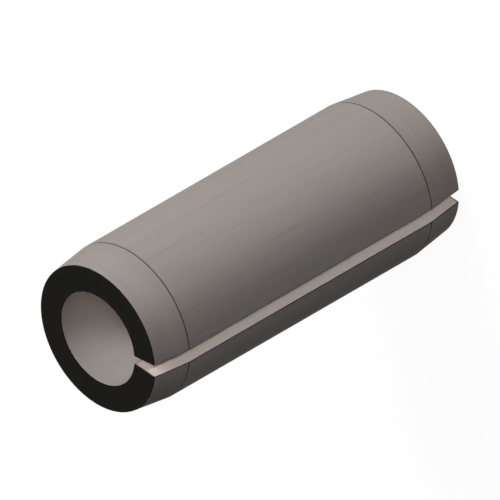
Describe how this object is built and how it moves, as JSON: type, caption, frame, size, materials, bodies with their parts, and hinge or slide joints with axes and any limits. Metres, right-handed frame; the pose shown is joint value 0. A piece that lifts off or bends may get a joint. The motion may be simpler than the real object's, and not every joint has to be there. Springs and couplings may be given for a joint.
{
  "type": "slotted spring pin",
  "caption": "Slotted spring pin: a rolled strip of spring steel with an open slot and lead-in cones, driven into a drilled hole to lock or align what it passes through.",
  "frame": {"origin": "centre of the lower end face, on the pin's axis", "axes": "+Z along the pin's axis, up through the bore; -Y out through the slot"},
  "size_m": [0.01, 0.01, 0.025],
  "materials": {
    "spring_steel": "satin, as tempered, a warm grey with darker sheared end faces"
  },
  "bodies": {
    "root": {"spring_pin": "spring_steel"}
  },
  "joints": []
}
